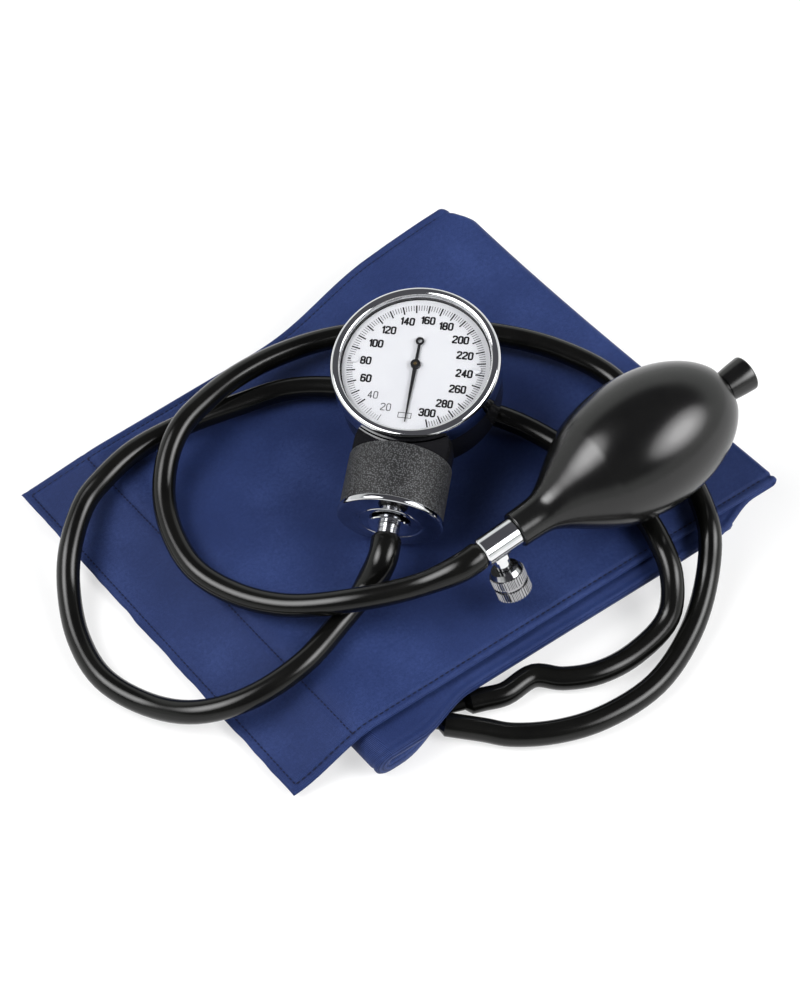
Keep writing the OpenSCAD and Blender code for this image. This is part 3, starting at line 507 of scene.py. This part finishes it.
def direction(turned, way):
    return (turned.to_3x3() @ Vector(way)).normalized()


gauge_port, gauge_way = port(q=57.5, d=3.3, turn=20.0, reach=9.0)
bulb_port, bulb_way = port(q=50.0, d=5.3, turn=45.0, reach=7.0)
nipple = GAUGE @ (Vector((0.0, -NIPPLE_END, NECK_Z)) * MM) / MM
valve_end = BULB @ (Vector((VALVE_FROM, 0.0, 0.0)) * MM) / MM
make_hose("gauge_tubing", hose_points(nipple, direction(GAUGE, (0, -1, 0)), GAUGE_ROUTE, gauge_port,
    gauge_way), "gauge_hose", flare=0.27, taper=(13.0, 25.0))
make_hose("bulb_tubing", hose_points(valve_end, direction(BULB, (-1, 0, 0)), BULB_ROUTE, bulb_port,
    bulb_way), "bulb_hose", flare=0.2, taper=(6.0, 22.0))
make_bulb()


# ---------------------------------------------------------------- cuff cloth: a strip folded in three
CORNER_LEFT = np.array((-124.7, 0.0))
CORNER_BACK = np.array((17.2, 111.1))
PANEL_L = float(np.linalg.norm(CORNER_RIGHT - CORNER_FRONT))
PANEL_W = 148.0
TOP_LAYER = 2.1
MIDDLE_LAYER = 4.4
BOTTOM_LAYER = 6.6
LAYER_GAP = 1.3
STACK_H = 15.5
CORNER_LIFT = 8.5
RIGHT_DROP = 1.5
BACK_BOW = 6.5
RIGHT_BOW = 5.0
FLAP_H = 4.0
FLAP_END = 0.16
FOLD_HALF = 0.95
FOLD_T = (10.0, 4.6)  # thickness of the right fold, at the back and at the front
MIDDLE_OVER = (10.5, 5.2)  # how far the hidden layers stick out in front, at the left and further right
BOTTOM_OVER = (10.0, 1.0)
MIDDLE_Z = BOTTOM_LAYER + LAYER_GAP + MIDDLE_LAYER / 2
BOTTOM_Z = BOTTOM_LAYER / 2
LEFT_FOLD = 0.154
LEFT_RC = (MIDDLE_Z - BOTTOM_Z) / 2
FREE_END = 0.90


def plan(s, v):
    """Table place of a point of the cuff: s runs from the left edge to the right, v from back to front."""
    w = v + (1 - v) * BACK_BOW / PANEL_W * smoothstep(0, 0.16, s) * (1 - smoothstep(0.5, 0.8, s))
    left = mix(CORNER_LEFT, CORNER_FRONT, w)
    right = mix(CORNER_BACK, CORNER_RIGHT, w)
    bow = RIGHT_BOW * smoothstep(0, 0.07, v) * (1 - v) * smoothstep(0.4, 1, s)
    return mix(left, right, s) + EDGE * bow


def middle_over(s):
    return mix(*MIDDLE_OVER, smoothstep(0.21, 0.33, s)) * (1 - smoothstep(0.85, 0.96, s)) / PANEL_W


def bottom_over(s):
    return mix(*BOTTOM_OVER, smoothstep(0.17, 0.34, s)) / PANEL_W


def top_z(s, v):
    rise = CORNER_LIFT * (1 - v) ** 3 - RIGHT_DROP * v**3
    return FLAP_H + (STACK_H - FLAP_H) * smoothstep(0, FLAP_END, s) + smoothstep(0.55, 1, s) * rise


def fold_t(v):
    return mix(*FOLD_T, smoothstep(0, 1, v))


def fold_s(v):
    return 1 - fold_t(v) / 2 / PANEL_L


def fold_rc(v):
    return fold_t(v) / 2 - FOLD_HALF


def fold_z(v):
    return top_z(fold_s(v), v) - fold_t(v) / 2


def station(leg, k, v):
    """(s, centre height, half thickness, normal along s, normal up, overhang) of the strip at k on a leg.

    k is the share of the way on a flat leg and an angle in degrees on a fold.
    """
    if leg == "top":
        s = k * fold_s(v)
        h = mix(TOP_LAYER / 2, FOLD_HALF, smoothstep(0.9, 1, k))
        return s, top_z(s, v) - h, h, 0.0, 1.0, 0.0
    if leg == "right":
        c, n = math.cos(math.radians(k)), math.sin(math.radians(k))
        return fold_s(v) + fold_rc(v) * c / PANEL_L, fold_z(v) + fold_rc(v) * n, FOLD_HALF, c, n, 0.0
    if leg == "middle":
        z = mix(MIDDLE_Z, fold_z(v) - fold_rc(v), smoothstep(0.6, 1, k))
        h = mix(MIDDLE_LAYER / 2, FOLD_HALF, smoothstep(0.7, 1, k))
        return k * fold_s(v), z, h, 0.0, -1.0, middle_over(k)
    if leg == "left":
        c, n = math.cos(math.radians(k)), math.sin(math.radians(k))
        t = (k - 90) / 180
        return (LEFT_FOLD + LEFT_RC * c / PANEL_L, (MIDDLE_Z + BOTTOM_Z) / 2 + LEFT_RC * n,
            mix(MIDDLE_LAYER / 2, BOTTOM_LAYER / 2, t), -c, -n, mix(middle_over(0), bottom_over(0), t))
    return k, BOTTOM_Z, BOTTOM_LAYER / 2, 0.0, 1.0, bottom_over(k)


STRIP = (
    [("top", k) for k in np.linspace(0, 1, 150)]
    + [("right", k) for k in np.linspace(90, -90, 14)[1:-1]]
    + [("middle", k) for k in np.linspace(1, LEFT_FOLD, 80)]
    + [("left", k) for k in np.linspace(90, 270, 18)[1:-1]]
    + [("bottom", k) for k in np.linspace(LEFT_FOLD, FREE_END, 60)]
)
# places across the strip, closer together at the hems
ACROSS = np.concatenate([
    np.linspace(0, 0.012, 5)[:-1], np.linspace(0.012, 0.05, 10)[:-1], np.linspace(0.05, 0.95, 110)[:-1],
    np.linspace(0.95, 0.988, 10)[:-1], np.linspace(0.988, 1.0, 5),
])
HEM_IN = 2.6  # the hem's stitching lies this far inside the edges
CHANNEL_AT = 24.0  # a seam crosses the cuff this far from its free hem
HEM_GROOVE = (0.7, 0.5)  # depth and width of the line that a seam pulls in
CHANNEL_GROOVE = (0.8, 0.65)
EDGE_ROLL = 1.1
THINNEST = 0.05
CREASE_SEED = 1.3
CREASE_SHARE = 0.55
CREASE_SINK = 0.25
EDGE_WAVE = 0.45
EDGE_WAVE_IN = 3.5


def creases(x, y, seed):
    """Soft rises and dips of the cloth in millimetres."""
    p = Vector((x * 0.011, y * 0.016, seed))
    wide = noise.noise(p) * 0.9
    ridge = 1.0 - abs(noise.noise(Vector((x * 0.02 + y * 0.012, y * 0.03 - x * 0.01, seed + 3.7)))) * 2.0
    fine = noise.noise(Vector((x * 0.07, y * 0.09, seed + 9.1))) * 0.16
    return wide + max(0.0, ridge - 0.68) * 1.5 + fine


def crease_lift(p, k, v):
    """Lift of the top layer by its creases, which fade towards the edges and the free hem."""
    edge = min(v, 1 - v) * PANEL_W
    quiet = (float(smoothstep(0, 10, edge)) * 0.8 + 0.2) * (float(smoothstep(0.02, 0.2, k)) * 0.85 + 0.15)
    return creases(p[0], p[1], CREASE_SEED) * quiet * CREASE_SHARE - CREASE_SINK


def rolled(distance):
    """Share of the full thickness that far from a rounded edge."""
    return math.sqrt(max(0.0, 1 - max(0.0, 1 - distance / EDGE_ROLL) ** 2))


def pulled_in(distance, groove):
    depth, width = groove
    return depth * math.exp(-(distance / width) ** 2)


def cloth_points():
    """Outer and inner skin of the cloth, in rows along the strip, and each point's way along it."""
    rows, cols = len(STRIP), len(ACROSS)
    outer, inner, run = np.zeros((rows, cols, 3)), np.zeros((rows, cols, 3)), np.zeros((rows, cols))
    for j, v in enumerate(ACROSS):
        way = (plan(1, v) - plan(0, v)) / np.linalg.norm(plan(1, v) - plan(0, v))
        edge = min(v, 1 - v) * PANEL_W
        before = None
        for i, (leg, k) in enumerate(STRIP):
            s, z, h, ns, nz, over = station(leg, k, v)
            p = plan(s, v * (1 + over))
            centre = np.array((p[0], p[1], z))
            run[i, j] = 0.0 if before is None else run[i - 1, j] + np.linalg.norm(centre - before)
            before = centre
            roll, groove, lift = rolled(edge), pulled_in(edge - HEM_IN, HEM_GROOVE), 0.0
            if leg == "top":
                from_hem = k * fold_s(v) * PANEL_L
                roll = min(roll, rolled(from_hem))
                groove = max(groove, pulled_in(from_hem - HEM_IN, HEM_GROOVE),
                    pulled_in(from_hem - CHANNEL_AT, CHANNEL_GROOVE))
                if from_hem < edge:
                    fade = 1.0 - float(smoothstep(0.0, EDGE_WAVE_IN, from_hem))
                    p = p + way * EDGE_WAVE * fade * noise.noise(Vector((p[0] * 0.16, p[1] * 0.16, 7.7)))
                lift = crease_lift(p, k, v)
            up = max(h * roll - groove, THINNEST)
            down = max(h * roll - groove * 0.5, THINNEST)
            outer[i, j] = (*(p + way * up * ns), z + up * nz + lift)
            inner[i, j] = (*(p - way * down * ns), z - down * nz + min(lift, 0.0))
    return outer, inner, run


def closed_skin(rows, cols):
    """Faces that join two skins of rows x cols points into one closed form."""
    m = rows * cols
    faces = []
    for i in range(rows - 1):
        for j in range(cols - 1):
            a = i * cols + j
            b, c, d = a + 1, a + cols + 1, a + cols
            faces += [(a, b, c, d), (m + a, m + d, m + c, m + b)]
    for i in range(rows - 1):
        a, b = i * cols, (i + 1) * cols
        faces.append((a, b, m + b, m + a))
        a, b = a + cols - 1, b + cols - 1
        faces.append((a, m + a, m + b, b))
    last = (rows - 1) * cols
    for j in range(cols - 1):
        faces.append((j, m + j, m + j + 1, j + 1))
        faces.append((last + j, last + j + 1, m + last + j + 1, m + last + j))
    return faces


def make_cuff():
    outer, inner, run = cloth_points()
    verts = np.concatenate([outer.reshape(-1, 3), inner.reshape(-1, 3)]) * MM
    cuff = mesh_object("cuff_cloth", verts, closed_skin(*run.shape))
    # the strip's own coordinates in millimetres; the inner skin's weave is shifted a little
    across = np.broadcast_to(ACROSS * PANEL_W, run.shape)
    flat = np.stack([run, across], -1).reshape(-1, 2)
    flat = np.concatenate([flat, flat + (0.37, 0.53)])
    layer = cuff.data.uv_layers.new(name="strip_mm")
    loops = np.zeros(len(cuff.data.loops), np.int32)
    cuff.data.loops.foreach_get("vertex_index", loops)
    layer.data.foreach_set("uv", flat[loops].astype(np.float32).ravel())
    cuff.data.materials.append(MATERIALS["nylon"])
    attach(cuff, ROOT)
    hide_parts("cuff_cover")
    return cuff, float(run[-1].mean())


cuff, strip_length = make_cuff()


STITCH_L = 2.6
STITCH_SPAN = (0.1, 0.78)  # from where to where a thread shows between two holes
THREAD_HALF = 0.26
THREAD_UP = 0.24
THREAD_SINK = 0.42  # below the top of the cloth
SEAM_END = 0.985


def make_stitches(name, lines):
    """Rows of short stitches lying in the seams, joined in one piece."""
    verts, faces = [], []
    for line in lines:
        for a, b in zip(line, line[1:]):
            p, q = (a.lerp(b, share) for share in STITCH_SPAN)
            way = (q - p).normalized()
            side = way.cross(Vector((0, 0, 1))).normalized() * THREAD_HALF
            up = Vector((0, 0, THREAD_UP))
            base = len(verts)
            for at, w in ((p, 0.5), (p.lerp(q, 0.3), 1.0), (p.lerp(q, 0.7), 1.0), (q, 0.5)):
                verts += [at - side * w, at + up * w, at + side * w]
            for r in range(3):
                for c in range(2):
                    n = base + 3 * r + c
                    faces.append((n, n + 1, n + 4, n + 3))
    obj = mesh_object(name, [v * MM for v in verts], faces)
    obj.data.materials.append(MATERIALS["thread"])
    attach(obj, ROOT)
    return obj


def on_top(k, v):
    """A point of a seam on the top layer."""
    s = k * fold_s(v)
    p = plan(s, v)
    return Vector((p[0], p[1], float(top_z(s, v)) + crease_lift(p, k, v) - THREAD_SINK))


def seam(points):
    """Splits a run of points into stitches."""
    out = [points[0]]
    for a, b in zip(points, points[1:]):
        n = max(1, round((b - a).length / STITCH_L))
        out += [a.lerp(b, (i + 1) / n) for i in range(n)]
    return out


FINE = np.linspace(0, 1, 90)
hem_v = HEM_IN / PANEL_W
hem_k = HEM_IN / PANEL_L
seams = [seam([on_top(mix(hem_k, SEAM_END, t), v) for t in FINE]) for v in (hem_v, 1 - hem_v)]
seams += [seam([on_top(k, mix(hem_v, 1 - hem_v, t)) for t in FINE]) for k in (hem_k, CHANNEL_AT / PANEL_L)]
stitches = make_stitches("cuff_stitching", seams)


# ---------------------------------------------------------------- dial print
DIAL_TOP = 21.4
INK_T = 0.05
DEG_PER_10 = 11.333
MARK_R = 22.5
MARK_MIDDLE = Vector((0.1, -0.45))  # in the photograph the marks sit a little low and turned
MARK_TURN = math.radians(1.0)
LONG_MARK = (2.9, 0.48)  # length and width
SHORT_MARK = (2.0, 0.19)
GREY_LONG_MARK = (2.4, 0.24)
GREY_SHORT_MARK = (1.7, 0.13)
ZERO_BOX = (-2.7, -19.3, 1.7, -17.3)
ZERO_LINE = 0.24


def dial_angle(value):
    """Angle of a reading in radians, from the dial's +X; 0 is at the bottom, readings go clockwise."""
    return math.radians(-90.0 - value / 10.0 * DEG_PER_10)


def on_gauge(points):
    return [GAUGE @ (Vector(p) * MM) for p in points]


def make_print(name, quads, material):
    """Flat printed marks: each quad is four dial points in millimetres."""
    verts, faces = [], []
    for quad in quads:
        base = len(verts)
        verts += on_gauge([(x, y, DIAL_TOP + INK_T) for x, y in quad])
        faces.append((base, base + 1, base + 2, base + 3))
    obj = mesh_object(name, verts, faces, smooth=False)
    obj.data.materials.append(MATERIALS[material])
    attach(obj, ROOT)
    return obj


def mark(value, size):
    length, width = size
    a = dial_angle(value) - MARK_TURN
    out, side = Vector((math.cos(a), math.sin(a))), Vector((-math.sin(a), math.cos(a)))
    inner, outer = MARK_R - length, MARK_R
    return [tuple(MARK_MIDDLE + out * r + side * w) for r, w in
        ((inner, -width / 2), (outer, -width / 2), (outer, width / 2), (inner, width / 2))]


def frame_quads(x0, y0, x1, y1, w):
    """Outline of a box, four thin quads."""
    return [
        [(x0, y0), (x1, y0), (x1, y0 + w), (x0, y0 + w)], [(x0, y1 - w), (x1, y1 - w), (x1, y1), (x0, y1)],
        [(x0, y0), (x0 + w, y0), (x0 + w, y1), (x0, y1)], [(x1 - w, y0), (x1, y0), (x1, y1), (x1 - w, y1)],
    ]


DIGIT_H = 2.35  # between the middles of the strokes
DIGIT_W = 1.2
DIGIT_ROUND = 0.36
DIGIT_GAP = 0.66
ONE_W = 1.2  # room that a 1 takes
STROKE = 0.6
GREY_STROKE = 0.3


def round_box(x0, y0, x1, y1):
    """A closed box with round corners, as points."""
    points = []
    r = DIGIT_ROUND
    for cx, cy, a in ((x1 - r, y1 - r, 0), (x0 + r, y1 - r, 90), (x0 + r, y0 + r, 180),
            (x1 - r, y0 + r, 270)):
        points += arc(cx, cy, r, a, a + 90, 4)
    return points + points[:1]


def digit_strokes():
    """Plain square-shouldered digits, each as open runs of points."""
    w, h, r = DIGIT_W, DIGIT_H, DIGIT_ROUND
    top_bowl = arc(r, h - r, r, 180, 90, 4) + arc(w - r, h - r, r, 90, 0, 4)
    return {
        "0": [round_box(0, 0, w, h)],
        "1": [[(0.1, h - 0.5), (0.55, h), (0.55, 0)]],
        "2": [top_bowl + [(w, h * 0.62), (0.0, 0.3), (0.0, 0.0), (w, 0.0)]],
        "3": [top_bowl + arc(w - r, h / 2 + r, r, 0, -90, 4) + [(0.4, h / 2)],
            [(0.4, h / 2)] + arc(w - r, h / 2 - r, r, 90, 0, 4) + arc(w - r, r, r, 0, -90, 4)
            + arc(r, r, r, -90, -180, 4)],
        "4": [[(w * 0.75, 0), (w * 0.75, h), (0, 0.62), (w + 0.1, 0.62)]],
        "6": [round_box(0, 0, w, h * 0.57), [(0, r)] + arc(r, h - r, r, 180, 90, 4)
            + arc(w - r, h - r, r, 90, 20, 4)],
        "8": [round_box(0, 0, w, h / 2), round_box(0.05, h / 2, w - 0.05, h)],
    }


STROKES = digit_strokes()
ADVANCE = {digit: DIGIT_W + DIGIT_GAP for digit in STROKES} | {"1": ONE_W}


def stroke_quads(points, width):
    """A run of points as flat quads, with a little eight-sided dot on each joint."""
    quads = []
    for (ax, ay), (bx, by) in zip(points, points[1:]):
        way = Vector((bx - ax, by - ay)).normalized() * width / 2
        quads.append([(ax + way.y, ay - way.x), (bx + way.y, by - way.x),
            (bx - way.y, by + way.x), (ax - way.y, ay + way.x)])
    for x, y in points:
        ring = [(x + width / 2 * math.cos(a), y + width / 2 * math.sin(a)) for a in
            (math.radians(22.5 + 45 * i) for i in range(8))]
        quads += [[ring[0], ring[1], ring[2], ring[3]], [ring[0], ring[3], ring[4], ring[7]],
            [ring[4], ring[5], ring[6], ring[7]]]
    return quads


# middles of the numbers on the dial
NUMBER_AT = {
    20: (-7.0, -16.0), 40: (-11.9, -12.1), 60: (-15.2, -6.4), 80: (-16.4, 0.0), 100: (-14.2, 6.5),
    120: (-10.9, 11.8), 140: (-5.4, 15.6), 160: (1.2, 16.6), 180: (7.4, 15.1), 200: (12.9, 10.6),
    220: (15.2, 5.1), 240: (16.0, -1.4), 260: (14.8, -7.2), 280: (11.5, -12.8), 300: (6.5, -16.6),
}


def number_quads(value, width):
    """A plain number, upright on the dial, as quads."""
    text = str(value)
    total = sum(ADVANCE[c] for c in text) - (ADVANCE[text[-1]] - DIGIT_W)
    x, y = NUMBER_AT[value][0] - total / 2, NUMBER_AT[value][1] - DIGIT_H / 2
    quads = []
    for c in text:
        for run in STROKES[c]:
            quads += stroke_quads([(x + px, y + py) for px, py in run], width)
        x += ADVANCE[c]
    return quads


def numbers(values, width):
    return [quad for value in values for quad in number_quads(value, width)]


make_print("dial_long_marks", [mark(v, LONG_MARK) for v in range(40, 301, 10)], "ink")
make_print("dial_short_marks", [mark(v, SHORT_MARK) for v in range(40, 301, 2) if v % 10], "ink")
make_print("dial_grey_marks", [mark(v, GREY_LONG_MARK) for v in (20, 30)]
    + [mark(v, GREY_SHORT_MARK) for v in range(22, 40, 2) if v % 10] + frame_quads(*ZERO_BOX, ZERO_LINE),
    "grey_ink")
make_print("dial_numbers", numbers(range(60, 301, 20), STROKE), "ink")
make_print("dial_grey_numbers", numbers((20, 40), GREY_STROKE), "grey_ink")


# ---------------------------------------------------------------- studio
def softbox(name, azimuth, elevation, distance, size, radiance):
    """An oval lamp aimed at the object from that direction in degrees; size and glow are set apart."""
    az, el = math.radians(azimuth), math.radians(elevation)
    place = Vector((math.cos(el) * math.cos(az), math.cos(el) * math.sin(az), math.sin(el))) * distance
    data = bpy.data.lights.new(name, "AREA")
    data.shape = "ELLIPSE"
    data.size, data.size_y = size
    data.energy = radiance * math.pi * size[0] * size[1] * math.pi / 4
    obj = link(bpy.data.objects.new(name, data))
    obj.location = place
    obj.rotation_euler = (-place).to_track_quat("-Z", "Y").to_euler()


FLOOR_HALF = 3.0
FLOOR_GLOW = 0.6  # share of plain white in the floor where a camera, mirror or glass sees it


def make_floor():
    corners = [(x * FLOOR_HALF, y * FLOOR_HALF, 0) for x, y in ((-1, -1), (1, -1), (1, 1), (-1, 1))]
    floor = mesh_object("floor", corners, [(0, 1, 2, 3)], smooth=False)
    material = new_material("floor_paper", (0.9, 0.9, 0.9), 0.9, specular=0.1)
    rays = node(material, "ShaderNodeLightPath")
    seen = rays.outputs["Is Camera Ray"]
    for ray in ("Is Glossy Ray", "Is Transmission Ray"):
        seen = combine(material, "MAXIMUM", seen, rays.outputs[ray])
    share = node(material, "ShaderNodeMath", operation="MULTIPLY")
    share.inputs[1].default_value = FLOOR_GLOW
    blend = node(material, "ShaderNodeMixShader")
    links = material.node_tree.links
    links.new(seen, share.inputs[0])
    links.new(share.outputs["Value"], blend.inputs[0])
    links.new(shader_of(material).outputs["BSDF"], blend.inputs[1])
    links.new(node(material, "ShaderNodeEmission").outputs["Emission"], blend.inputs[2])
    links.new(blend.outputs["Shader"], material.node_tree.nodes["Material Output"].inputs["Surface"])
    floor.data.materials.append(material)


WORLD_UP = (0.0, -0.19, 1.0)  # the walls' light reaches higher at the back
WALL = (0.34, (0.9, 0.92, 0.9))
CEILING = (0.52, (0.09, 0.09, 0.1))


def make_world():
    """White low walls round the table and a dark ceiling over them."""
    world = bpy.data.worlds.new("studio")
    bpy.context.scene.world = world
    world.use_nodes = True
    tree = world.node_tree
    where = tree.nodes.new("ShaderNodeTexCoord")
    height = tree.nodes.new("ShaderNodeVectorMath")
    height.operation = "DOT_PRODUCT"
    height.inputs[1].default_value = WORLD_UP
    ramp = tree.nodes.new("ShaderNodeValToRGB")
    set_ramp(ramp, WALL, CEILING)
    tree.links.new(where.outputs["Generated"], height.inputs[0])
    tree.links.new(height.outputs["Value"], ramp.inputs["Fac"])
    tree.links.new(ramp.outputs["Color"], tree.nodes["Background"].inputs["Color"])
    tree.nodes["Background"].inputs["Strength"].default_value = 1.0


make_floor()
make_world()
LAMP_LAYERS = (  # brighter towards the middle, as a lamp behind cloth is
    ("softbox", 1.62, (1.55, 1.2), 3.6),
    ("middle", 1.61, (1.15, 0.85), 3.4),
    ("lamp", 1.6, (0.7, 0.5), 4.6),
)
for side, azimuth, elevation in (("right", -17.0, 40.0), ("left", 191.5, 50.0)):
    for layer, distance, size, radiance in LAMP_LAYERS:
        softbox(f"{side}_{layer}", azimuth, elevation, distance, size, radiance)
bpy.context.scene.view_settings.view_transform = "Standard"
